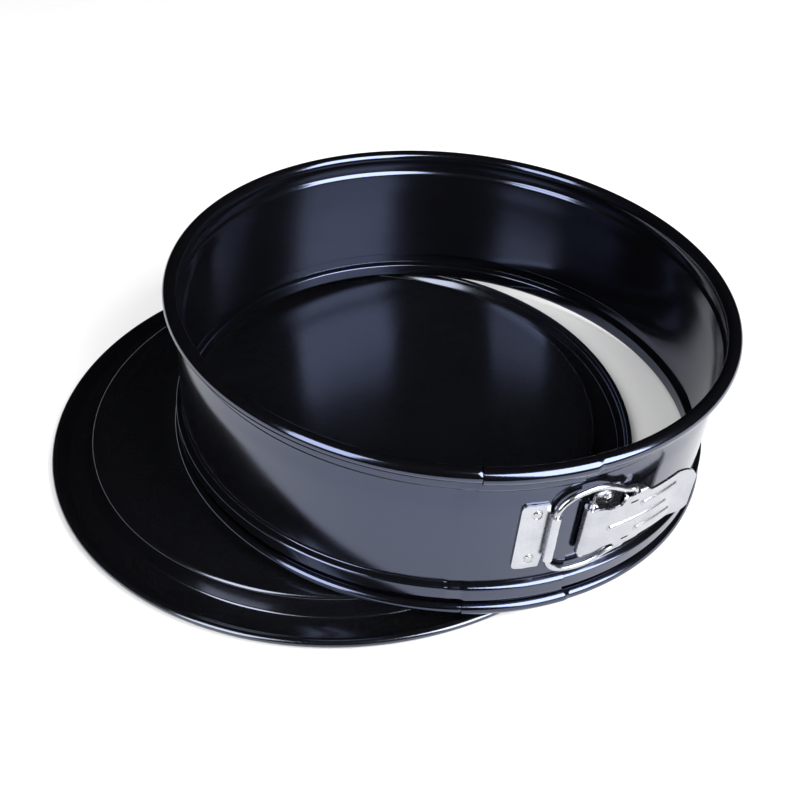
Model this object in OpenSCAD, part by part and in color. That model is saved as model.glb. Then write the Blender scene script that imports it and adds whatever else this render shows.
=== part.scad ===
// Springform pan, 26 cm: a wide-rimmed base and a split band with a toggle latch.
// The origin is the centre of the base on the surface it stands on, +Z up.
// The opened band leans on the base, one side raised on the platform.

/* [Sheet] */
// Thickness of the pan sheet
sheet_t = 0.6; // [0.5:0.05:0.7]
// Thickness of the latch sheet
latch_t = 1.2; // [1:0.1:1.3]

/* [Base] */
// Outer radius of the base
base_r = 150; // [147:0.5:155]
// Radius of the raised platform
platform_r = 129.6; // [128:0.2:130]
// Height of the platform top
platform_h = 11.2; // [9:0.1:11.4]
// Height of the rolled rim centre
rim_h = 4.3; // [3.5:0.1:5]
// Outer radius of the rolled rim tube
rim_tube_r = 1.8; // [1.4:0.1:2]

/* [Band] */
// Inner radius of the band wall
wall_r = 130; // [129:0.1:130.5]
// Height of the band
band_h = 83; // [78:0.5:90]
// Outer radius of the rolled edges
roll_r = 2.5; // [2.2:0.1:2.8]
// Step of the wall below the top roll
ledge_step = 0.6; // [0.4:0.1:0.9]
// Depth of the groove that seats the platform edge
groove_depth = 2.8; // [2:0.1:3]
// Radial room between the two overlapping ends
lap_gap = 0.3; // [0.25:0.01:0.35]

/* [Pose] */
// Centre of the band's lower edge, along X
band_x = 48.7; // [48:0.1:49]
// Centre of the band's lower edge, along Y
band_y = -1.8; // [-2:0.1:-1.5]
// Height of the centre of the band's lower edge
band_z = 9.35; // [9.3:0.05:9.6]
// Lean of the band about Y
band_lean = 3.9; // [3.85:0.01:3.95]
// Roll of the band about X
band_roll = 0.2; // [0.1:0.05:0.3]

/* [Latch] */
// Height of the latch centre above the band's lower edge
latch_h = 43.5; // [42:0.5:45]
// Diameter of the bail wire
wire_d = 2.8; // [2.6:0.1:2.9]
// Half width of the lever at its handle
lever_half_w = 12.9; // [12.5:0.1:13]
// Half width over the ears of the lever
ear_half_w = 14.4; // [14.2:0.1:14.4]
// Half height of the two latch plates
plate_half_h = 18; // [17:0.5:19]

/* [Hidden] */
$fn = 96;

coating = [0.10, 0.10, 0.12];
zinc = [0.78, 0.79, 0.80];

// Angles round the band, from +X, where its pieces begin and end
flex_right = -30;
flex_back = 90;
flex_left = 210;
cut_gap = 0.01;
inner_end = -87.3;
outer_end = -68.6;
lap_start = -90.5;
lap_finish = -67.8;
joggle_angle = 0.5;
joggle_steps = 3;
joggle_lap = 0.08;

// Heights of the groove's two sides and of the ledge, above the lower edge
groove_h = [7.4, 13.4];
groove_side = 3.5;
ledge_h = [68, 72.6];

// Rolled edges where the two ends lap
lap_roll_r = roll_r + 0.35;
lap_shift = sheet_t + lap_gap;
curl_end = 105;

// Latch pivots, as an angle round the band and a radius
sleeve_a = -73.2;
sleeve_r = 134;
fulcrum_a = -66.4;
fulcrum_r = 133.8;
ear_a = -57.4;
ear_r = 134.6;

function polar(r, a) = [r * cos(a), r * sin(a)];
function ramp(u) = u * u * (3 - 2 * u);
function mix(p, q, u) = [for (i = [0:len(p) - 1]) p[i] * (1 - u) + q[i] * u];
function arc(c, r, a0, a1, n) = [for (i = [0:n]) c + polar(r, a0 + (a1 - a0) * i / n)];
function unit(v) = v / norm(v);
function left(v) = [-v[1], v[0]];

// Path moved sideways by d, to the left of its direction
function side(path, d) = [for (i = [0:len(path) - 1])
    let (a = unit(path[min(i + 1, len(path) - 1)] - path[min(i, len(path) - 2)]),
         b = unit(path[max(i, 1)] - path[max(i - 1, 0)]),
         m = unit(left(a) + left(b)))
    path[i] + m * d / (m * left(a))];

// Outline of a strip of thickness t whose middle follows the path
function strip(path, t) = concat(side(path, t / 2), [for (i = [len(path) - 1:-1:0]) side(path, -t / 2)[i]]);

// Middle of the band sheet, from the lower curl up the wall to the upper curl
function band_path(roll) =
    let (w = wall_r + sheet_t / 2, r = roll - sheet_t / 2, up = w + ledge_step)
    concat(
        arc([w + r, roll], r, curl_end, -180, 19),
        [for (i = [0:5]) [w + groove_depth * ramp(i / 5), groove_h[0] + groove_side * i / 5]],
        [for (i = [0:5]) [w + groove_depth * ramp(1 - i / 5), groove_h[1] + groove_side * i / 5]],
        [for (i = [0:4]) [w + ledge_step * ramp(i / 4), ledge_h[0] + (ledge_h[1] - ledge_h[0]) * i / 4]],
        arc([up + r, band_h - roll], r, 180, -curl_end, 19));

free_path = band_path(roll_r);
inner_path = band_path(lap_roll_r);
outer_path = side(inner_path, -lap_shift);

// Everything of the band is drawn in the band's own frame, and placed here
module band_place() {
    translate([band_x, band_y, band_z]) rotate([band_roll, band_lean, 0]) children();
}

module band_arc(path, a0, a1) {
    rotate([0, 0, a0]) rotate_extrude(angle = a1 - a0, $fn = 180) polygon(strip(path, sheet_t));
}

// Short stretches that carry one profile over to another, each lapping the next
module joggle(p, q, a0) {
    for (i = [1:joggle_steps])
        band_arc(mix(p, q, i / (joggle_steps + 1)), a0 + (i - 1) * joggle_angle - joggle_lap,
                 a0 + i * joggle_angle + joggle_lap);
}

module at_pivot(a, r, h) {
    rotate([0, 0, a]) translate([r, 0, h]) children();
}

// A plate bent to the radius r, between two angles and two heights
module bent_plate(r, t, a0, a1, h0, h1) {
    rotate([0, 0, a0]) rotate_extrude(angle = a1 - a0, $fn = 180)
        translate([r, h0]) square([t, h1 - h0]);
}

// The step down from the platform, and the trough between it and the rim
bend_r = 1.7;
step_run = 5.1;
step_slope = 8;
trough_r = 142.6;

module base_plate() {
    rim_c = [base_r - rim_tube_r, rim_h];
    tube = rim_tube_r - sheet_t / 2;
    low = sheet_t / 2;
    top = platform_h - sheet_t / 2;
    edge = platform_r - bend_r - sheet_t / 2;
    rise = rim_c[0] - tube - trough_r;
    path = concat(
        [[0, top]],
        arc([edge, top - bend_r], bend_r, 90, step_slope, 6),
        arc([edge + step_run, low + bend_r], bend_r, 180 + step_slope, 270, 6),
        [[trough_r, low]],
        [for (i = [1:5]) [trough_r + rise * i / 5, low + (rim_h - low) * ramp(i / 5)]],
        [for (i = [1:16]) rim_c + polar(tube, 180 - (180 + curl_end) * i / 16)]);
    outline = [for (p = strip(path, sheet_t)) [max(p[0], 0), p[1]]];
    color(coating) rotate_extrude($fn = 240) polygon(outline);
}

module band_back_right() {
    color(coating) band_place() band_arc(free_path, flex_right + cut_gap, flex_back - cut_gap);
}

module band_back_left() {
    color(coating) band_place() band_arc(free_path, flex_back + cut_gap, flex_left - cut_gap);
}

// Inner end of the band: its curls close over those of the outer end
module band_front_right() {
    color(coating) band_place() difference() {
        union() {
            band_arc(inner_path, inner_end, lap_finish);
            joggle(inner_path, free_path, lap_finish);
            band_arc(free_path, lap_finish + joggle_steps * joggle_angle, flex_right - cut_gap);
        }
        rivet_holes(bracket_rivet_a, bracket_rivet_h);
    }
}

// Outer end of the band: it steps out by one sheet and laps outside the wall
module band_front_left() {
    color(coating) band_place() difference() {
        union() {
            band_arc(free_path, flex_left - 360 + cut_gap, lap_start - joggle_steps * joggle_angle);
            joggle(free_path, outer_path, lap_start - joggle_steps * joggle_angle);
            band_arc(outer_path, lap_start, outer_end);
        }
        rivet_holes(hinge_rivet_a, hinge_rivet_h);
    }
}

// Rivets: small domed heads outside, flush inside
rivet_r = 1.25;
rivet_play = 0.02;
rivet_flush = 0.05;
hole_back = 2;
hole_depth = 8;
shank_sink = 0.1;
head_r = 2;
head_t = 0.8;
head_taper = 0.6;
hinge_rivet_a = -76.4;
hinge_rivet_h = 12.65;
bracket_rivet_a = -62.2;
bracket_rivet_h = 12.85;
outer_wall_r = wall_r + lap_shift;
hinge_plate_r = outer_wall_r + sheet_t;
bracket_r = wall_r + sheet_t;
plate_t = 1;

module rivet_holes(a, h) {
    for (s = [-1, 1])
        at_pivot(a, wall_r - hole_back, latch_h + s * h)
            rotate([0, 90, 0]) cylinder(h = hole_depth, r = rivet_r);
}

module rivet_pair(a, h, r0, r1) {
    seat = r1 - r0 + rivet_play;
    for (s = [-1, 1])
        at_pivot(a, r0, latch_h + s * h) rotate([0, 90, 0]) {
            cylinder(h = r1 - r0 + shank_sink, r = rivet_r - rivet_play);
            translate([0, 0, seat]) cylinder(h = head_t / 2, r = head_r);
            translate([0, 0, seat + head_t / 2])
                cylinder(h = head_t / 2, r1 = head_r, r2 = head_r * head_taper);
        }
}

// Plate on the outer end, with the sleeve that the bail turns in
pivot_play = 0.06;
bore_h = 40;
sleeve_half_h = 12.4;
sleeve_bore_r = wire_d / 2 + pivot_play;
sleeve_outer_r = 2.45;
hinge_plate_a = [-79.4, -74.6];
neck_lap = 0.1;

module hinge_plate() {
    color(zinc) band_place() difference() {
        union() {
            bent_plate(hinge_plate_r, plate_t, hinge_plate_a[0], hinge_plate_a[1],
                       latch_h - plate_half_h, latch_h + plate_half_h);
            bent_plate(hinge_plate_r, plate_t, hinge_plate_a[1] - neck_lap, sleeve_a,
                       latch_h - sleeve_half_h, latch_h + sleeve_half_h);
            at_pivot(sleeve_a, sleeve_r, latch_h - sleeve_half_h)
                cylinder(h = 2 * sleeve_half_h, r = sleeve_outer_r);
        }
        at_pivot(sleeve_a, sleeve_r, latch_h - bore_h / 2) cylinder(h = bore_h, r = sleeve_bore_r);
        rivet_holes(hinge_rivet_a, hinge_rivet_h);
    }
}

module hinge_plate_rivets() {
    color(zinc) band_place()
        rivet_pair(hinge_rivet_a, hinge_rivet_h, outer_wall_r + rivet_flush, hinge_plate_r + plate_t);
}

// Plate on the inner end: two arms hold the bar that the lever turns on
bar_r = 1.6;
bar_half_h = 15.2;
curl_half_h = 12.7;
curl_side_room = 0.35;
curl_end_room = 0.3;
bracket_a = [-65.3, -59];
bracket_half_h = plate_half_h - 0.5;
arm_a = bracket_a[0] + 0.25;
arm_shift = 0.2;

module lever_bracket() {
    edge = polar(bracket_r + plate_t / 2, arm_a);
    bar = polar(fulcrum_r, fulcrum_a);
    arm = strip([bar, edge], latch_t);
    color(zinc) band_place() difference() {
        union() {
            bent_plate(bracket_r, plate_t, bracket_a[0], bracket_a[1],
                       latch_h - bracket_half_h, latch_h + bracket_half_h);
            for (s = [-1, 1])
                translate([0, 0, latch_h + s * (curl_half_h + bar_half_h) / 2 + s * arm_shift])
                    linear_extrude(bar_half_h - curl_half_h, center = true) polygon(arm);
            at_pivot(fulcrum_a, fulcrum_r, latch_h - bar_half_h) cylinder(h = 2 * bar_half_h, r = bar_r);
        }
        rivet_holes(bracket_rivet_a, bracket_rivet_h);
        // window that clears the curl of the lever
        at_pivot(fulcrum_a, fulcrum_r, latch_h) difference() {
            cylinder(h = 2 * (curl_half_h + curl_end_room), r = lever_curl_r + curl_side_room, center = true);
            cylinder(h = bore_h, r = bar_r, center = true);
        }
    }
}

module bracket_rivets() {
    color(zinc) band_place()
        rivet_pair(bracket_rivet_a, bracket_rivet_h, wall_r + rivet_flush, bracket_r + plate_t);
}

// Lever: a bent strip, curled round the bar, with two ears and a flared handle
overlap = 0.05;
lever_curl_r = 2.85;
lever_r = fulcrum_r + lever_curl_r - overlap;
handle_a = -45.2;
handle_tip = [140.5, -42.9];
ear_t = 1.2;
ear_mid_h = ear_half_w - ear_t / 2 - overlap;
root = 0.3;
slot_r = wire_d / 2 + 0.2;
slot_run = 4.05;
slot_in = 2.9;
slot_out = 2.4;
slot_h = 70;
slot_from = curl_half_h - 0.6;
ear_inner_r = 131.95;
ear_span_a = [-61.2, -55.4];
rib_r = 1.1;
rib_h = 7.4;
ribs = [[-55.8, -46.8, rib_h], [-62.6, -48.8, 0], [-55.8, -46.8, -rib_h]];
mid_a = -55;
outline_r = 170;
body_h = 90;

// Half width of the lever at an angle round the band
lever_widths = [[-68.2, 12.3], [-65.2, 12.3], [-63.6, 10.9], [-61.6, 10.8], [-60.4, 13.2], [-59, ear_half_w],
                [-56, ear_half_w], [-54.2, 13.3], [-52, lever_half_w], [-45, lever_half_w],
                [-43.7, 12.2], [-42.9, 10.6], [-42.3, 8.4], [-41.9, 5]];

module lever_outline() {
    pts = [for (p = lever_widths) [lever_r * sin(p[0] - mid_a), p[1]]];
    mirrored = [for (i = [len(pts) - 1:-1:0]) [pts[i][0], -pts[i][1]]];
    rotate([0, 0, mid_a]) translate([0, 0, latch_h]) rotate([90, 0, 90])
        linear_extrude(outline_r) polygon(concat(pts, mirrored));
}

// Room in an ear for the free end of the bail, along the path it takes as the latch opens
module ear_slot() {
    e = polar(ear_r, ear_a);
    to_bar = unit(polar(fulcrum_r, fulcrum_a) - e);
    out = unit(e);
    a = e - to_bar * slot_r;
    b = e + to_bar * (slot_run + slot_r);
    linear_extrude(slot_h)
        polygon([a - out * slot_in, b - out * slot_in, b + out * slot_out, a + out * slot_out]);
}

module latch_lever() {
    body = strip(concat(
        [for (i = [0:14]) polar(lever_r - latch_t / 2, fulcrum_a + (handle_a - fulcrum_a) * i / 14)],
        [polar(handle_tip[0] - latch_t / 2, handle_tip[1])]), latch_t);
    color(zinc) band_place() difference() {
        union() {
            intersection() {
                linear_extrude(body_h) polygon(body);
                lever_outline();
            }
            at_pivot(fulcrum_a, fulcrum_r, latch_h)
                cylinder(h = 2 * (curl_half_h - curl_end_room), r = lever_curl_r, center = true);
            for (s = [-1, 1])
                bent_plate(ear_inner_r, lever_r - root - ear_inner_r, ear_span_a[0], ear_span_a[1],
                           latch_h + s * ear_mid_h - ear_t / 2, latch_h + s * ear_mid_h + ear_t / 2);
            for (rib = ribs)
                rotate([0, 0, rib[0]]) rotate_extrude(angle = rib[1] - rib[0], $fn = 180)
                    translate([lever_r - rib_r / 2, latch_h + rib[2]]) circle(r = rib_r, $fn = 24);
        }
        at_pivot(fulcrum_a, fulcrum_r, latch_h - bore_h / 2) cylinder(h = bore_h, r = bar_r + pivot_play);
        for (h = [latch_h + slot_from, latch_h - slot_from - slot_h])
            translate([0, 0, h]) ear_slot();
    }
}

// Bail: a bent wire, its straight side in the sleeve and its two ends in the ears
bail_arm = [[0, 14.4], [2.6, 17.8], [7.2, 20.9], [13.5, 22.4], [19.5, 22.3], [25, 20.5],
            [29.6, 18], [33.4, 16.6]];
bail_corner = 16.1;
bend_swell = 1.03;
bail_end = 12.5;

module wire_bail() {
    s = polar(sleeve_r, sleeve_a);
    e = polar(ear_r, ear_a);
    reach = norm(e - s);
    turn = atan2(e[1] - s[1], e[0] - s[0]);
    arm = concat(bail_arm, [[reach, bail_corner], [reach, bail_end]]);
    color(zinc) band_place() translate([s[0], s[1], latch_h]) rotate([0, 0, turn]) {
        cylinder(h = 2 * arm[0][1], d = wire_d, center = true, $fn = 32);
        for (k = [-1, 1])
            for (i = [0:len(arm) - 2]) {
                v = arm[i + 1] - arm[i];
                translate([arm[i][0], 0, k * arm[i][1]]) {
                    rotate([0, atan2(v[0], k * v[1]), 0]) cylinder(h = norm(v), d = wire_d, $fn = 32);
                    sphere(d = wire_d * bend_swell, $fn = 32);
                }
            }
    }
}

base_plate();
band_back_right();
band_back_left();
band_front_right();
band_front_left();
hinge_plate();
hinge_plate_rivets();
lever_bracket();
bracket_rivets();
latch_lever();
wire_bail();
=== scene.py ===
"""Looks of the springform pan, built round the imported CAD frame.

Lengths in this file are millimetres and angles are degrees unless a name says otherwise.
The band and its latch are built in the band's own frame, and placed with PLACE.
"""

import math

import bmesh
import bpy
import numpy as np
from mathutils import Matrix, Vector


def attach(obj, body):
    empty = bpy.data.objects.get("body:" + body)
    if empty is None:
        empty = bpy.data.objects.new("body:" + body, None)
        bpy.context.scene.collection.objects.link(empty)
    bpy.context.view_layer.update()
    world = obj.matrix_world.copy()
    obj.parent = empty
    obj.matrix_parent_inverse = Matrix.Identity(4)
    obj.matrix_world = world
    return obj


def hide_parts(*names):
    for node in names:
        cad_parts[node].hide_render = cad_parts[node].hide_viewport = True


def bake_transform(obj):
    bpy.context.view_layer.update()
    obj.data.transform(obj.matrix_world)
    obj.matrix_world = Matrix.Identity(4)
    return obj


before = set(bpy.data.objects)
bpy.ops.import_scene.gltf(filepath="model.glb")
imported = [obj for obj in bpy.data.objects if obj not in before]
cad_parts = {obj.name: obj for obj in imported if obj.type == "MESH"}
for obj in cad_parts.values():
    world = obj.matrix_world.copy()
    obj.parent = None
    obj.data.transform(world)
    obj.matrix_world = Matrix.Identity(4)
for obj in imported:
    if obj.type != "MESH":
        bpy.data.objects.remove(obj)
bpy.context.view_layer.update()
MM = 0.001

# ---------------------------------------------------------------- frames

LEAN, ROLL = math.radians(3.9), math.radians(0.2)
ROT_X = np.array([[1, 0, 0], [0, math.cos(ROLL), -math.sin(ROLL)], [0, math.sin(ROLL), math.cos(ROLL)]])
ROT_Y = np.array([[math.cos(LEAN), 0, math.sin(LEAN)], [0, 1, 0], [-math.sin(LEAN), 0, math.cos(LEAN)]])
BAND_ROT = ROT_Y @ ROT_X
BAND_AT = np.array([48.7, -1.8, 9.35])


def place(points):
    """Band frame in millimetres to row frame in metres."""
    return (np.asarray(points, float) @ BAND_ROT.T + BAND_AT) * MM


def polar(r, a):
    a = np.radians(a)
    return np.stack([r * np.cos(a), r * np.sin(a)], -1)


def ramp(u):
    """Smooth step from 0 to 1."""
    u = np.clip(u, 0, 1)
    return u * u * (3 - 2 * u)


def arc(cx, cy, r, a0, a1, n):
    return np.array([cx, cy]) + polar(r, np.linspace(a0, a1, n + 1))


# ---------------------------------------------------------------- meshes

def make_object(name, verts, faces, material):
    mesh = bpy.data.meshes.new(name)
    mesh.from_pydata([tuple(v) for v in verts], [], [tuple(int(i) for i in f) for f in faces])
    mesh.update()
    mesh.polygons.foreach_set("use_smooth", [True] * len(mesh.polygons))
    mesh.materials.append(material)
    ob = bpy.data.objects.new(name, mesh)
    bpy.context.scene.collection.objects.link(ob)
    return ob


def outward(ob):
    """Makes every face of a closed mesh point outwards."""
    bm = bmesh.new()
    bm.from_mesh(ob.data)
    bmesh.ops.remove_doubles(bm, verts=bm.verts, dist=1e-7)
    bmesh.ops.recalc_face_normals(bm, faces=bm.faces)
    bm.to_mesh(ob.data)
    bm.free()
    ob.data.update()
    return ob


def bevel(ob, width):
    """Rounds the cut edges of a sheet."""
    mod = ob.modifiers.new("edges", "BEVEL")
    mod.width = width * MM
    mod.segments = 2
    mod.limit_method = "ANGLE"
    mod.angle_limit = math.radians(40)
    mod.harden_normals = True


END_STEPS = 4


def outline(path, t):
    """Closed outline of a strip of thickness t along a path, with END_STEPS points round each end."""
    d = np.gradient(path, axis=0)
    d /= np.linalg.norm(d, axis=1)[:, None]
    left = np.stack([-d[:, 1], d[:, 0]], 1)
    out = [path + left * t / 2]
    a = np.radians(np.linspace(90, -90, END_STEPS + 2)[1:-1])[:, None]
    out.append(path[-1] + (np.cos(a) * d[-1] + np.sin(a) * left[-1]) * t / 2)
    out.append((path - left * t / 2)[::-1])
    a = np.radians(np.linspace(-90, -270, END_STEPS + 2)[1:-1])[:, None]
    out.append(path[0] + (np.cos(a) * d[0] + np.sin(a) * left[0]) * t / 2)
    return np.concatenate(out)


def shifted(path, d):
    """Path moved sideways by d, to the left of its direction."""
    g = np.gradient(path, axis=0)
    g /= np.linalg.norm(g, axis=1)[:, None]
    return path + np.stack([-g[:, 1], g[:, 0]], 1) * d


def sweep_round(angles, profile_at):
    """A strip profile carried round the Z axis. profile_at(angle) gives its middle path."""
    step = angles[1] - angles[0]
    ghost = np.concatenate([[angles[0] - step], angles, [angles[-1] + step]])
    rings = []
    for a in ghost:
        o = outline(profile_at(a), SHEET)
        c, s = math.cos(math.radians(a)), math.sin(math.radians(a))
        rings.append(np.stack([o[:, 0] * c, o[:, 0] * s, o[:, 1]], 1))
    grid = np.array(rings)
    along = np.roll(grid, -1, 1) - np.roll(grid, 1, 1)
    n = np.cross(along, np.gradient(grid, axis=0))
    n /= np.linalg.norm(n, axis=2)[:, :, None]
    grid, n = grid[1:-1], n[1:-1]
    faces = ring_faces(*grid.shape[:2])
    p, f = grid.reshape(-1, 3), faces[0]
    if np.cross(p[f[1]] - p[f[0]], p[f[3]] - p[f[0]]) @ n.reshape(-1, 3)[f[0]] < 0:
        faces = faces[:, ::-1]
    return grid, n, faces.tolist()


def ring_faces(rows, around):
    """Quads between neighbouring rows of points, each row a closed ring."""
    idx = np.arange(rows * around).reshape(rows, around)
    a, b = idx[:-1], idx[1:]
    return np.stack([a, np.roll(a, -1, 1), np.roll(b, -1, 1), b], -1).reshape(-1, 4)


def band_piece(name, a0, a1, steps, profile_at, material, cap_start, cap_end):
    grid, n, faces = sweep_round(np.linspace(a0, a1, steps + 1), profile_at)
    nu, nv = grid.shape[:2]
    ob = make_object(name, place(grid.reshape(-1, 3)), faces, material)
    nrm = n.reshape(-1, 3) @ BAND_ROT.T
    # the outer skin at mid height shows which way is out
    r = np.linalg.norm(grid[0, :, :2], axis=1)
    outer = np.where(np.abs(grid[0, :, 2] - 45) < 3)[0]
    outer = int(outer[np.argmax(r[outer])])
    if n[0, outer, :2] @ grid[0, outer, :2] <= 0:
        nrm = -nrm
    if np.array(ob.data.polygons[outer].normal) @ nrm[outer] < 0:
        ob.data.flip_normals()
    ob.data.normals_split_custom_set_from_vertices([tuple(x) for x in nrm])
    if cap_start or cap_end:
        add_caps(ob, nu, nv, cap_start, cap_end)
    return ob


def add_caps(ob, nu, nv, start, end):
    """Closes the cut ends of a swept strip with a row of quads across the sheet."""
    bm = bmesh.new()
    bm.from_mesh(ob.data)
    bm.verts.ensure_lookup_table()
    side = (nv - 2 * END_STEPS) // 2
    back = 2 * side + END_STEPS
    for row, use in ((0, start), (nu - 1, end)):
        if not use:
            continue
        quads = [[i, i + 1, back - 2 - i, back - 1 - i] for i in range(side - 1)]
        tips = [[*range(side - 1, side + END_STEPS + 1)], [*range(back - 1, nv), 0]]
        new = [bm.faces.new([bm.verts[row * nv + k] for k in f]) for f in quads + tips]
        for f in new:
            f.smooth = False
    bm.normal_update()
    bm.to_mesh(ob.data)
    bm.free()
    ob.data.update()


def sheet_piece(name, grid, t, material, keep=None):
    """A closed sheet of thickness t either side of a grid of mid points. keep marks the cells that exist."""
    gu, gv = np.gradient(grid, axis=0), np.gradient(grid, axis=1)
    n = np.cross(gu, gv)
    n /= np.maximum(np.linalg.norm(n, axis=2), 1e-12)[:, :, None]
    nu, nv = grid.shape[:2]
    if keep is None:
        keep = np.ones((nu - 1, nv - 1), bool)
    pts = np.concatenate([(grid + n * t / 2).reshape(-1, 3), (grid - n * t / 2).reshape(-1, 3)])
    idx = np.arange(nu * nv).reshape(nu, nv)
    off = nu * nv
    faces = []
    for i in range(nu - 1):
        for j in range(nv - 1):
            if keep[i, j]:
                q = [idx[i, j], idx[i + 1, j], idx[i + 1, j + 1], idx[i, j + 1]]
                faces.append(q)
                faces.append([k + off for k in q[::-1]])
                for di, dj, e in ((-1, 0, (3, 0)), (1, 0, (1, 2)), (0, -1, (0, 1)), (0, 1, (2, 3))):
                    ii, jj = i + di, j + dj
                    if not (0 <= ii < nu - 1 and 0 <= jj < nv - 1 and keep[ii, jj]):
                        a, b = q[e[0]], q[e[1]]
                        faces.append([b, a, a + off, b + off])
    used = sorted({k for f in faces for k in f})
    remap = {k: i for i, k in enumerate(used)}
    faces = [[remap[k] for k in f] for f in faces]
    ob = make_object(name, place(pts[used]), faces, material)
    return outward(ob)


def lathe(profile, centre, axis_a):
    """A small turned part on the band: profile is (radius, height outwards), centre (r, angle, h)."""
    steps = 40
    er = np.array([math.cos(math.radians(axis_a)), math.sin(math.radians(axis_a)), 0])
    et = np.array([-er[1], er[0], 0])
    ez = np.array([0, 0, 1.0])
    r0, a0, h0 = centre
    c = np.append(polar(r0, a0), h0)
    verts, faces = [], []
    m = len(profile)
    for i in range(steps):
        th = 2 * math.pi * i / steps
        for r, z in profile:
            verts.append(c + er * z + (et * math.cos(th) + ez * math.sin(th)) * max(r, 1e-5))
    for i in range(steps):
        k = (i + 1) % steps
        for j in range(m - 1):
            faces.append([i * m + j, k * m + j, k * m + j + 1, i * m + j + 1])
    return verts, faces


def tube(path, radius, steps):
    """A round wire along a path of 3-D points, its ends rounded off."""
    cap = 0.35
    path = np.asarray(path, float)
    d = np.gradient(path, axis=0)
    d /= np.linalg.norm(d, axis=1)[:, None]
    ref = np.array([1.0, 0, 0]) if abs(d[0][0]) < 0.9 else np.array([0, 1.0, 0])
    u = np.cross(d[0], ref)
    u /= np.linalg.norm(u)
    rings = []
    start = [(path[0] - d[0] * cap * s, d[0], q) for s, q in ((1.0, 0.02), (0.92, 0.45), (0.6, 0.82))]
    end = [(path[-1] + d[-1] * cap * s, d[-1], q) for s, q in ((0.6, 0.82), (0.92, 0.45), (1.0, 0.02))]
    body = [(p, t, 1.0) for p, t in zip(path, d)]
    for p, t, q in start + body + end:
        u = u - t * (u @ t)
        u /= np.linalg.norm(u)
        w = np.cross(t, u)
        th = np.linspace(0, 2 * math.pi, steps, endpoint=False)[:, None]
        rings.append(p + (np.cos(th) * u + np.sin(th) * w) * radius * q)
    grid = np.array(rings)
    faces = ring_faces(len(rings), steps).tolist()
    faces.append(list(range(steps))[::-1])
    faces.append(list(range((len(rings) - 1) * steps, len(rings) * steps)))
    return grid.reshape(-1, 3), faces


def smooth_curve(points, per=8):
    """Catmull-Rom curve through the points."""
    p = np.asarray(points, float)
    p = np.vstack([2 * p[0] - p[1], p, 2 * p[-1] - p[-2]])
    out = []
    for i in range(1, len(p) - 2):
        for t in np.linspace(0, 1, per, endpoint=False):
            a, b, c, d = p[i - 1], p[i], p[i + 1], p[i + 2]
            out.append(0.5 * (2 * b + (c - a) * t + (2 * a - 5 * b + 4 * c - d) * t ** 2
                              + (3 * b - a - 3 * c + d) * t ** 3))
    out.append(p[-2])
    return np.array(out)


# ---------------------------------------------------------------- materials

def node_material(name):
    mat = bpy.data.materials.new(name)
    mat.use_nodes = True
    nt = mat.node_tree
    shader = nt.nodes["Principled BSDF"]
    coords = nt.nodes.new("ShaderNodeTexCoord")
    return mat, nt, shader, coords


def noise(nt, coords, scale, detail=3.0, stretch=None):
    tex = nt.nodes.new("ShaderNodeTexNoise")
    tex.inputs["Scale"].default_value = scale
    tex.inputs["Detail"].default_value = detail
    source = coords.outputs["Object"]
    if stretch:
        mapping = nt.nodes.new("ShaderNodeMapping")
        mapping.inputs["Scale"].default_value = stretch
        nt.links.new(source, mapping.inputs["Vector"])
        source = mapping.outputs["Vector"]
    nt.links.new(source, tex.inputs["Vector"])
    return tex


def remap(nt, source, low, high, to_low, to_high):
    m = nt.nodes.new("ShaderNodeMapRange")
    for k, v in (("From Min", low), ("From Max", high), ("To Min", to_low), ("To Max", to_high)):
        m.inputs[k].default_value = v
    nt.links.new(source, m.inputs["Value"])
    return m.outputs["Result"]


def colours(nt, source, stops):
    r = nt.nodes.new("ShaderNodeValToRGB")
    e = r.color_ramp.elements
    e[0].position, e[0].color = stops[0][0], (*stops[0][1], 1)
    e[1].position, e[1].color = stops[-1][0], (*stops[-1][1], 1)
    for pos, col in stops[1:-1]:
        x = e.new(pos)
        x.color = (*col, 1)
    nt.links.new(source, r.inputs["Fac"])
    return r.outputs["Color"]


def bump(nt, shader, sources, distance):
    """Several heights (texture output, weight) summed into one bump."""
    total = None
    for out, weight in sources:
        m = nt.nodes.new("ShaderNodeMath")
        m.operation = "MULTIPLY"
        m.inputs[1].default_value = weight
        nt.links.new(out, m.inputs[0])
        if total is None:
            total = m.outputs[0]
        else:
            s = nt.nodes.new("ShaderNodeMath")
            s.operation = "ADD"
            nt.links.new(total, s.inputs[0])
            nt.links.new(m.outputs[0], s.inputs[1])
            total = s.outputs[0]
    b = nt.nodes.new("ShaderNodeBump")
    b.inputs["Strength"].default_value = 1.0
    b.inputs["Distance"].default_value = distance
    nt.links.new(total, b.inputs["Height"])
    nt.links.new(b.outputs["Normal"], shader.inputs["Normal"])


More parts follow.
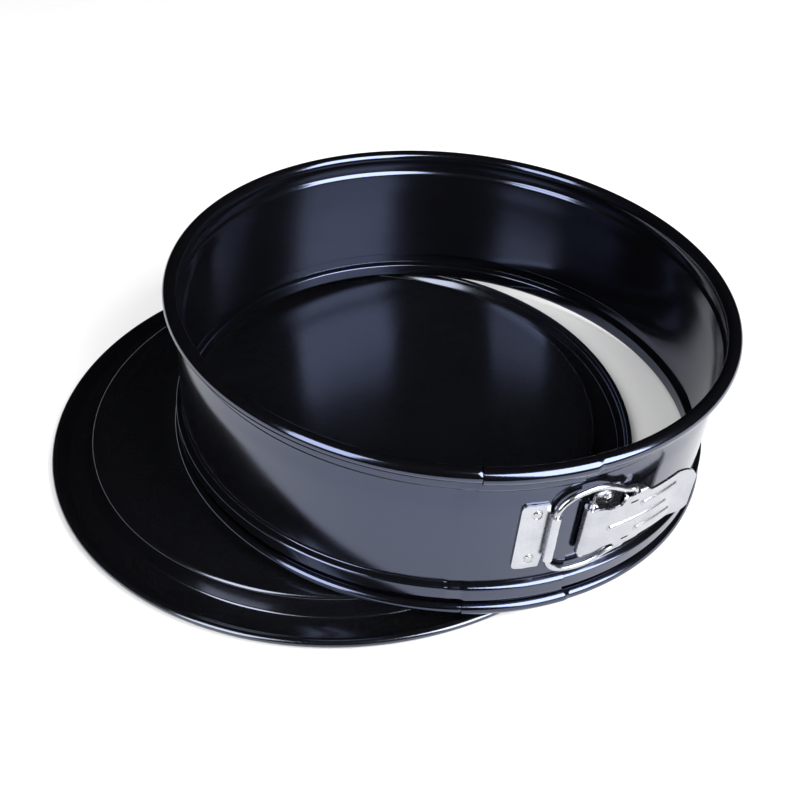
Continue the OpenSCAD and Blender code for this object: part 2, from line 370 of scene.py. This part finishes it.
def coating_material(name, rough, speckle, ior, tint):
    """Glossy near-black non-stick coating: fine speckle, a slight orange peel and uneven gloss."""
    mat, nt, sh, co = node_material(name)
    sh.inputs["IOR"].default_value = ior
    sh.inputs["Specular Tint"].default_value = (*tint, 1)
    fine = noise(nt, co, 2600, 2)
    peel = noise(nt, co, 420, 2)
    broad = noise(nt, co, 26, 3)
    nt.links.new(colours(nt, fine.outputs["Fac"], [
        (0.30, (0.0008, 0.0008, 0.0010)), (0.55, (0.0012, 0.0012, 0.0016)),
        (0.74, (speckle, speckle, speckle * 1.2))]),
        sh.inputs["Base Color"])
    mixed = nt.nodes.new("ShaderNodeMath")
    mixed.operation = "ADD"
    nt.links.new(remap(nt, broad.outputs["Fac"], 0.3, 0.7, rough - 0.025, rough + 0.035), mixed.inputs[0])
    nt.links.new(remap(nt, fine.outputs["Fac"], 0.3, 0.7, -0.02, 0.02), mixed.inputs[1])
    nt.links.new(mixed.outputs[0], sh.inputs["Roughness"])
    bump(nt, sh, [(peel.outputs["Fac"], 0.6), (fine.outputs["Fac"], 0.25)], 0.000010)
    return mat


def matt_platform(mat):
    """Inside the step the base is less glossy than on its step, trough and rim."""
    nt, sh = mat.node_tree, mat.node_tree.nodes["Principled BSDF"]
    rough = sh.inputs["Roughness"].links[0].from_socket
    coords = nt.nodes.new("ShaderNodeTexCoord")
    parts = nt.nodes.new("ShaderNodeSeparateXYZ")
    flat = nt.nodes.new("ShaderNodeCombineXYZ")
    length = nt.nodes.new("ShaderNodeVectorMath")
    length.operation = "LENGTH"
    nt.links.new(coords.outputs["Object"], parts.inputs["Vector"])
    nt.links.new(parts.outputs["X"], flat.inputs["X"])
    nt.links.new(parts.outputs["Y"], flat.inputs["Y"])
    nt.links.new(flat.outputs["Vector"], length.inputs[0])
    extra = nt.nodes.new("ShaderNodeMath")
    nt.links.new(rough, extra.inputs[0])
    nt.links.new(remap(nt, length.outputs["Value"], 0.121, 0.127, 0.12, 0.0), extra.inputs[1])
    nt.links.new(extra.outputs[0], sh.inputs["Roughness"])
    nt.links.new(remap(nt, length.outputs["Value"], 0.121, 0.127, 0.27, 0.5), sh.inputs["Specular IOR Level"])


def zinc_material(name, rough, tone, lines):
    """Bright plated sheet steel: faint drawing lines, cloudy tone, small pits."""
    mat, nt, sh, co = node_material(name)
    sh.inputs["Metallic"].default_value = 1.0
    cloud = noise(nt, co, 110, 3)
    grain = noise(nt, co, 900, 4, lines)
    pit = noise(nt, co, 700, 2)
    nt.links.new(colours(nt, cloud.outputs["Fac"], [
        (0.30, tuple(c * 0.90 for c in tone)), (0.55, tone), (0.75, tuple(min(1, c * 1.05) for c in tone))]),
        sh.inputs["Base Color"])
    nt.links.new(remap(nt, grain.outputs["Fac"], 0.3, 0.7, rough - 0.04, rough + 0.06), sh.inputs["Roughness"])
    bump(nt, sh, [(grain.outputs["Fac"], 0.5), (pit.outputs["Fac"], 0.6)], 0.000012)
    return mat


COATING = coating_material("band_coating", 0.12, 0.003, 1.78, (0.55, 0.64, 1.0))
COATING_BASE = coating_material("base_coating", 0.15, 0.007, 1.78, (0.72, 0.79, 1.0))
matt_platform(COATING_BASE)
ZINC = zinc_material("latch_plate", 0.24, (0.40, 0.41, 0.44), (1, 1, 9))
ZINC_LEVER = zinc_material("lever_plate", 0.23, (0.36, 0.37, 0.395), (1, 1, 8))
WIRE = zinc_material("bail_steel", 0.20, (0.37, 0.38, 0.41), (3, 3, 1))
RIVET = zinc_material("rivet_steel", 0.18, (0.38, 0.385, 0.40), (1, 1, 1))

# ---------------------------------------------------------------- the band

SHEET = 0.6                     # thickness of the coated sheet
WALL = 130.3                    # radius of the wall's mid surface
BAND_H = 83
ROLL_R, LAP_ROLL_R = 2.5, 2.85  # curled edges, away from the lap and at it
BEAD_EXTRA = 0.8                # the upper curl is this much larger
LAP_SHIFT = 0.9                 # how far the outer end stands out at the lap
GROOVE, FLANK = 2.8, 1.9        # height and flank width of the ridge low on the wall
LEDGE, LEDGE_DIP = 0.65, 0.5    # the step below the bead, and the hollow under it
LATCH_H = 43.5                  # height of the latch's middle
WALL_MID_H = 41.5


def band_path(roll):
    r = roll - SHEET / 2
    up = WALL + LEDGE
    h = np.concatenate([np.linspace(7.3, 9.4, 18), np.linspace(10.4, 13.6, 4), np.linspace(14.6, 16.7, 18),
                        np.linspace(17.6, 68.5, 20), np.linspace(69.2, 71.8, 26), [72.6]])
    ledge = (LEDGE + LEDGE_DIP) * ramp((h - 69.3) / 2.2) - LEDGE_DIP * ramp((h - 58) / 11)
    out = WALL + GROOVE * ramp((h - 7.4) / FLANK) * ramp((16.6 - h) / FLANK) + ledge
    low = arc(WALL + r, roll, r, 105, -180, 44)
    top = roll + BEAD_EXTRA
    high = arc(up + r + roll - top, BAND_H - top, top - SHEET / 2, 205, -105, 48)
    u = np.linspace(0, 1, 9)[1:-1]
    neck = np.stack([up + (high[0, 0] - up) * u ** 2, 73 + (high[0, 1] - 73) * u], 1)
    return np.concatenate([low, np.stack([out, h], 1), neck, high])


FREE = band_path(ROLL_R)
INNER = band_path(LAP_ROLL_R)
OUTER = shifted(INNER, -LAP_SHIFT)


def inner_end_profile(a):
    w = ramp((a + 67.8) / 1.5)
    return INNER * (1 - w) + FREE * w


NEAR_CURL = ramp((np.abs(FREE[:, 1] - WALL_MID_H) - 20) / 16)


def outer_end_profile(a):
    """The wall steps out first. The two curls follow where the other end starts to cover them."""
    w = (ramp((a - 268.6) / 1.5) * (1 - NEAR_CURL) + ramp((a - 271.9) / 1.2) * NEAR_CURL)[:, None]
    return FREE * (1 - w) + OUTER * w


def free_profile(a):
    return FREE


right = band_piece("band_right", -87.3, 30, 420, inner_end_profile, COATING, True, False)
back = band_piece("band_back", 30, 150, 200, free_profile, COATING, False, False)
left = band_piece("band_left", 150, 291.4, 500, outer_end_profile, COATING, False, True)
for ob, a, b, at in ((right, "inner_end", "band_back_right", -30), (back, "band_back_right", "band_back_left", 90),
                     (left, "band_back_left", "outer_end", 210)):
    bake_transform(ob)
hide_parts("band_front_right", "band_back_right")
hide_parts("band_back_right", "band_back_left")
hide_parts("band_front_left", "band_back_left")

# ---------------------------------------------------------------- the base

PLATFORM_R, PLATFORM_H = 129.6, 11.2
STEP_BEND = 1.7
BASE_R = 150
RIM_H, RIM_R = 4.3, 1.8


def base_path():
    low, top = SHEET / 2, PLATFORM_H - SHEET / 2
    edge = PLATFORM_R - STEP_BEND - SHEET / 2
    foot = edge + 5.1
    rim = np.array([BASE_R - RIM_R, RIM_H])
    tube_r = RIM_R - SHEET / 2
    u = np.linspace(0, 1, 16)[1:-1]
    rise = rim[0] - tube_r - 142.6
    return np.concatenate([
        [[0.004, top], [40, top], [80, top], [110, top], [121, top], [125, top]],
        arc(edge, top - STEP_BEND, STEP_BEND, 90, 8, 12),
        arc(foot, low + STEP_BEND, STEP_BEND, 188, 270, 12),
        [[136.5, low], [140, low], [142.4, low]],
        np.stack([142.6 + rise * u, low + (RIM_H - low) * ramp(u)], 1),
        rim + polar(tube_r, np.linspace(180, -105, 34))])


def base_mesh():
    o = outline(base_path(), SHEET)
    steps = 288
    th = np.radians(np.arange(steps) * 360 / steps)[:, None]
    r = np.maximum(o[None, :, 0], 0.002)
    grid = np.stack([r * np.cos(th), r * np.sin(th), np.broadcast_to(o[None, :, 1], (steps, len(o)))], -1)
    along = np.roll(grid, -1, 1) - np.roll(grid, 1, 1)
    around = np.roll(grid, -1, 0) - np.roll(grid, 1, 0)
    n = np.cross(along, around)
    n /= np.maximum(np.linalg.norm(n, axis=2), 1e-12)[:, :, None]
    idx = np.arange(steps * len(o)).reshape(steps, len(o))
    a, b = idx, np.roll(idx, -1, 0)
    faces = np.stack([a, np.roll(a, -1, 1), np.roll(b, -1, 1), b], -1)[:, :-1].reshape(-1, 4)
    ob = make_object("base_dish", grid.reshape(-1, 3) * MM, faces.tolist(), COATING_BASE)
    return outward(ob)


base = base_mesh()
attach(base, "base")
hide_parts("base_plate")

# ---------------------------------------------------------------- latch: helpers


def resample(path, step):
    """Points along a path at an even step."""
    d = np.r_[0, np.cumsum(np.linalg.norm(np.diff(path, axis=0), axis=1))]
    n = max(2, int(round(d[-1] / step)))
    s = np.linspace(0, d[-1], n + 1)
    return np.stack([np.interp(s, d, path[:, k]) for k in range(path.shape[1])], 1), s


def angle_of(path):
    return np.degrees(np.arctan2(path[:, 1], path[:, 0]))


def ribbon_grid(path, top, bottom, rows, push=None):
    """Mid points of a sheet standing on a plan path. top and bottom are heights above LATCH_H, per point."""
    v = np.linspace(0, 1, rows + 1)
    h = bottom[:, None] * (1 - v) + top[:, None] * v
    d = np.gradient(path, axis=0)
    d /= np.linalg.norm(d, axis=1)[:, None]
    n = np.stack([d[:, 1], -d[:, 0]], 1)
    off = np.zeros_like(h) if push is None else push(angle_of(path)[:, None] + 0 * h, h)
    xy = path[:, None, :] + n[:, None, :] * off[:, :, None]
    return np.concatenate([xy, (h + LATCH_H)[:, :, None]], 2)


def rounded(s, length, full, corner):
    """Half height of a plate with rounded corners at both ends of its length."""
    e = np.minimum(s, length - s)
    x = np.clip(corner - e, 0, corner)
    return full - corner + np.sqrt(np.maximum(corner ** 2 - x ** 2, 0))


def dome(r, h):
    """Profile of a rivet head: a domed top on a short straight edge."""
    prof = [(0.0, h)]
    for a in np.radians(np.linspace(0, 90, 9)[1:-1]):
        prof.append((r * math.sin(a) ** 0.9, h * (0.25 + 0.75 * math.cos(a) ** 0.8)))
    return prof + [(r, h * 0.25), (r + 0.02, 0.0), (r, -0.25)]


SHANK_END = [(0.0, 0.06), (1.5, 0.05), (1.85, 0.0), (1.85, -0.2)]


def rivets(name, at, r, head_r, head_h, body, node):
    """Two rivets, one over the other: a domed head outside and a flush end inside the wall."""
    a, h = at
    verts, faces = [], []
    for s in (-1, 1):
        for profile, at_r, facing in ((dome(head_r, head_h), r, a), (SHANK_END, 129.95, a + 180)):
            v, f = lathe(profile, (at_r, a, LATCH_H + s * h), facing)
            faces += [[k + len(verts) for k in q] for q in f]
            verts += list(v)
    ob = outward(make_object(name, place(verts), faces, RIVET))
    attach(ob, body)
    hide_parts(node)


# ---------------------------------------------------------------- latch: hinge plate on the outer end

# plan positions in the band's frame, as (radius, angle)
SLEEVE = (134.0, -73.2)
FULCRUM = (133.8, -66.4)
EAR = (134.6, -57.4)
PLATE_T = 0.95
HINGE_R, BRACKET_R = 132.0, 131.0
# rivets: angle, and height above and below the latch's middle
HINGE_RIVETS = (-76.4, 12.65)
BRACKET_RIVETS = (-62.2, 12.85)


def local(pivot):
    c = polar(*pivot)
    er = c / np.linalg.norm(c)
    return c, er, np.array([-er[1], er[0]])


def hinge_plate():
    c, er, et = local(SLEEVE)
    edge, turn_at = -79.4, -74.2
    flat = polar(132.02, np.linspace(edge, -73.9, 40))
    th = np.radians(np.linspace(-20, 262, 60))[:, None]
    curl = c - er * 1.95 * np.cos(th) + et * 1.95 * np.sin(th)
    curl = curl[3:]
    path, s = resample(np.vstack([flat, curl]), 0.28)
    turn = HINGE_R * math.radians(turn_at - edge)
    half = rounded(s, 1e3, 18.0, 2.2)
    neck = ramp((s - turn + 0.35) / 0.7)
    half = half * (1 - neck) + 12.4 * neck

    def push(a, h):
        x = np.radians(a - HINGE_RIVETS[0]) * HINGE_R
        off = 0
        for k in (-1, 1):
            d = np.hypot(x, h - k * HINGE_RIVETS[1])
            off = off - 0.35 * np.exp(-((d - 2.2) / 0.45) ** 2)
        flat_zone = ramp((turn - s[:, None]) / 1.0)
        camber = 0.22 * np.exp(-((a + 77.2) / 0.55) ** 2)
        return (off + camber) * flat_zone

    grid = ribbon_grid(path, half, -half, 130, push)
    ob = sheet_piece("hinge_plate_sheet", grid, PLATE_T, ZINC)
    bevel(ob, 0.16)
    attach(ob, "outer_end")
    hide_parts("hinge_plate")


hinge_plate()
rivets("hinge_rivet_heads", HINGE_RIVETS, 132.5, 1.75, 0.55, "outer_end", "hinge_plate_rivets")

# ---------------------------------------------------------------- latch: bracket on the inner end


def bracket():
    c, _, et = local(FULCRUM)
    path, s = resample(polar(131.1, np.linspace(-65.2, -59.0, 40)), 0.3)
    half = rounded(s, s[-1], 17.5, 1.4)

    def push(a, h):
        x = np.radians(a - BRACKET_RIVETS[0]) * BRACKET_R
        off = 0
        for k in (-1, 1):
            d = np.hypot(x, h - k * BRACKET_RIVETS[1])
            off = off - 0.35 * np.exp(-((d - 2.7) / 0.5) ** 2) + 0.25 * np.exp(-(d / 2.2) ** 4)
        return off

    plate = sheet_piece("bracket_sheet", ribbon_grid(path, half, -half, 110, push), PLATE_T, ZINC)
    edge = polar(131.1, -65.1)
    arm = smooth_curve([polar(131.1, -64.4), edge, c * 0.35 + edge * 0.65 - et * 0.25,
                        c * 0.75 + edge * 0.25 - et * 0.1, c], 8)
    arm, sa = resample(arm, 0.3)
    u = sa / sa[-1]
    parts = [plate]
    for k in (-1, 1):
        far = k * (17.3 - 2.6 * ramp(u * 1.1))
        near = k * (13.0 + 0 * u)
        g = ribbon_grid(arm, np.maximum(far, near), np.minimum(far, near), 14)
        parts.append(sheet_piece("bracket_arm", g, PLATE_T, ZINC))
    z = np.linspace(-15.0, 15.0, 40)
    path3 = np.stack([np.full_like(z, c[0]), np.full_like(z, c[1]), z + LATCH_H], 1)
    v, f = tube(path3, 1.45, 24)
    parts.append(outward(make_object("bracket_bar", place(v), f, ZINC)))
    bpy.ops.object.select_all(action="DESELECT")
    for p in parts:
        p.select_set(True)
    bpy.context.view_layer.objects.active = plate
    bpy.ops.object.join()
    bevel(plate, 0.16)
    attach(plate, "inner_end")
    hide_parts("lever_bracket")


bracket()
rivets("bracket_rivet_heads", BRACKET_RIVETS, 131.75, 1.9, 0.75, "inner_end", "bracket_rivets")

# ---------------------------------------------------------------- latch: lever

LEVER_T = 1.1
CURL_R, CURL_SWEEP = 2.25, 292
LEVER_R = FULCRUM[0] + CURL_R
FLAT_HALF, BEND_R = 13.5, 1.2   # where the ears bend inwards, and how tightly
RIBS = [(-55.8, -46.8, 7.4), (-62.6, -48.8, 0.0), (-55.8, -46.8, -7.4)]  # from angle, to angle, height
RIB_H, RIB_W = 0.95, 1.15
MM_PER_DEG = 2.37               # along the lever
# half width of the flat sheet at each angle: neck, ears, handle, tip
HALF_WIDTH = np.array([
    [-66.4, 12.6], [-65.3, 12.55], [-64.3, 12.1], [-63.2, 11.0], [-61.9, 10.8], [-60.7, 11.0], [-60.2, 12.2],
    [-59.9, 15.2], [-59.6, 17.6], [-59.0, 18.5], [-56.9, 18.5], [-55.9, 17.8], [-55.2, 15.6], [-54.7, 13.9],
    [-54.1, 13.1], [-53, 12.9], [-51, 12.9], [-45, 12.9], [-44.3, 12.7], [-43.7, 12.0], [-43.3, 11.2],
    [-43.0, 10.2], [-42.8, 9.2], [-42.7, 8.4]])


def lever():
    c, er, et = local(FULCRUM)
    th = np.radians(np.linspace(CURL_SWEEP, 0, 70))[:, None]
    curl = c + er * CURL_R * np.cos(th) - et * CURL_R * np.sin(th)
    start, tip, flare_by = FULCRUM[1], -46.6, 3.9
    a = np.linspace(start, tip, 140)[1:]
    main = polar(np.full_like(a, LEVER_R), a)
    u = np.linspace(0, 1, 30)[1:]
    flare = polar(LEVER_R + 4.1 * u ** 1.55, tip + flare_by * u)
    path, s = resample(np.vstack([curl, main, flare]), 0.30)
    ang = np.where(s < CURL_R * math.radians(CURL_SWEEP), start, angle_of(path))
    half = np.interp(ang, HALF_WIDTH[:, 0], HALF_WIDTH[:, 1])
    half = np.convolve(np.pad(half, 2, mode="edge"), np.ones(5) / 5, "valid")
    rows = 124
    v = np.linspace(-1, 1, rows + 1)
    dev = half[:, None] * v
    over = np.clip(np.abs(dev) - FLAT_HALF, 0, None)
    quarter = BEND_R * math.pi / 2
    al = np.clip(over, 0, quarter) / BEND_R
    h = np.sign(dev) * (np.minimum(np.abs(dev), FLAT_HALF) + BEND_R * np.sin(al))
    drop = -BEND_R * (1 - np.cos(al)) - np.clip(over - quarter, 0, None)
    A = ang[:, None] + 0 * dev
    rise = np.zeros_like(dev)
    for a0, a1, z in RIBS:
        lon = ramp((A - a0) * MM_PER_DEG / 0.9 + 0.2) * ramp((a1 - A) * MM_PER_DEG / 0.9 + 0.2)
        rise += RIB_H * lon * np.exp(-(np.abs(dev - z) / RIB_W) ** 2.6)
        # a small dimple past each end of the rib
        for end, sgn in ((a0, -1), (a1, 1)):
            x = (A - end) * MM_PER_DEG - sgn * 0.5
            rise -= 0.5 * np.exp(-(x / 0.45) ** 2 - ((dev - z + 0.3) / 0.8) ** 2)
    # a slight crown across the strip
    main_zone = ramp((A + 65.5) / 2.5)
    rise += main_zone * 0.18 * np.cos(np.clip(dev / 12.9, -1, 1) * math.pi / 2)
    d = np.gradient(path, axis=0)
    d /= np.linalg.norm(d, axis=1)[:, None]
    n = np.stack([d[:, 1], -d[:, 0]], 1)
    xy = path[:, None, :] + n[:, None, :] * (rise + drop)[:, :, None]
    grid = np.concatenate([xy, (h + LATCH_H)[:, :, None]], 2)
    # the slots in the ears that the wire passes through, and the relief slits beside the ears
    am = (A[1:, 1:] + A[:-1, :-1]) / 2
    om = (over[1:, 1:] + over[:-1, :-1]) / 2
    slot_zone = ((am + 58.1) / 1.55) ** 4 + ((om - 2.1) / 1.55) ** 4 < 1
    dm = (dev[1:, 1:] + dev[:-1, :-1]) / 2
    relief = (np.abs(am + 57.9) < 0.85) & (np.abs(np.abs(dm) - 10.6) < 0.55)
    ob = sheet_piece("latch_lever_sheet", grid, LEVER_T, ZINC_LEVER, ~(slot_zone | relief))
    bevel(ob, 0.18)
    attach(ob, "lever")
    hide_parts("latch_lever")


lever()

# ---------------------------------------------------------------- latch: wire bail


WIRE_R = 1.4


def bail():
    s, e = polar(*SLEEVE), polar(*EAR)
    reach = np.linalg.norm(e - s)
    dx = (e - s) / reach
    arm = [(0, 0), (0, 6), (0, 11.5), (0.25, 13.8), (1.2, 16.2), (3.2, 18.6), (7.2, 21.0), (13.5, 22.4),
           (19.5, 22.3), (25, 20.5), (29.6, 18.1), (33.2, 16.75), (35.4, 16.3)]
    bend = [(reach - 0.55, 15.75), (reach - 0.08, 14.9), (reach, 13.9), (reach, 12.4)]
    half = smooth_curve(arm + bend, 10)
    full = np.vstack([half[::-1] * [1, -1], half[1:]])
    pts, _ = resample(full, 0.45)
    p3 = np.concatenate([s + pts[:, :1] * dx, pts[:, 1:] + LATCH_H], 1)
    v, f = tube(p3, WIRE_R, 28)
    ob = outward(make_object("wire_bail_loop", place(v), f, WIRE))
    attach(ob, "bail")
    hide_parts("wire_bail")


bail()

# ---------------------------------------------------------------- floor, lights, camera


def floor():
    mat, nt, sh, co = node_material("floor_white")
    tex = noise(nt, co, 3, 2)
    nt.links.new(colours(nt, tex.outputs["Fac"], [(0.3, (0.49, 0.49, 0.49)), (0.7, (0.51, 0.51, 0.51))]),
                 sh.inputs["Base Color"])
    sh.inputs["Roughness"].default_value = 0.9
    sh.inputs["Specular IOR Level"].default_value = 0.1
    side, near, far = 0.75, -0.34, 0.9
    ob = make_object("floor", [(-side, near, 0), (side, near, 0), (side, far, 0), (-side, far, 0)],
                     [(0, 1, 2, 3)], mat)


def softbox(name, azimuth, elevation, distance, width, height, radiance, mirrored=True):
    """An area light, in metres. Azimuth 0 stands behind the camera (-Y) and grows towards +X."""
    data = bpy.data.lights.new(name, "AREA")
    data.shape = "RECTANGLE"
    data.size, data.size_y = width, height
    data.energy = radiance * math.pi * width * height
    ob = bpy.data.objects.new(name, data)
    a, e = math.radians(azimuth), math.radians(elevation)
    away = Vector((math.sin(a) * math.cos(e), -math.cos(a) * math.cos(e), math.sin(e)))
    aim = Vector((0.03, 0, 0.03))
    ob.location = aim + away * distance
    ob.rotation_mode = "QUATERNION"
    ob.rotation_quaternion = away.to_track_quat("Z", "Y")
    ob.visible_glossy = mirrored
    bpy.context.scene.collection.objects.link(ob)


floor()
softbox("right_box", 51, 33, 1.3, 0.95, 1.05, 18)
softbox("left_box", -41, 33, 1.3, 0.55, 1.05, 11)
softbox("top_box", 180, 80, 1.9, 2.4, 1.8, 0.8, mirrored=False)

world = bpy.data.worlds.new("studio")
world.use_nodes = True
world.node_tree.nodes["Background"].inputs["Color"].default_value = (1, 1, 1, 1)
world.node_tree.nodes["Background"].inputs["Strength"].default_value = 1.0
bpy.context.scene.world = world
world.cycles_visibility.glossy = False
bpy.context.scene.view_settings.view_transform = "Standard"

CAM_AT = (0.02893, -0.41690, 0.35340)  # metres
CAM_ELEVATION, CAM_SPIN = math.radians(39.06), math.radians(0.29)
cam_data = bpy.data.cameras.new("camera")
cam_data.lens = 46.22
cam_data.sensor_width = 36
cam_data.clip_start, cam_data.clip_end = 0.01, 30
cam = bpy.data.objects.new("camera", cam_data)
bpy.context.scene.collection.objects.link(cam)
level = Vector((1, 0, 0))
upward = Vector((0, math.sin(CAM_ELEVATION), math.cos(CAM_ELEVATION)))
backward = Vector((0, -math.cos(CAM_ELEVATION), math.sin(CAM_ELEVATION)))
cam_x = level * math.cos(CAM_SPIN) + upward * math.sin(CAM_SPIN)
cam_y = upward * math.cos(CAM_SPIN) - level * math.sin(CAM_SPIN)
cam.matrix_world = Matrix([[*row] for row in zip(cam_x, cam_y, backward, CAM_AT)] + [[0, 0, 0, 1]])
bpy.context.scene.camera = cam

bpy.context.view_layer.update()
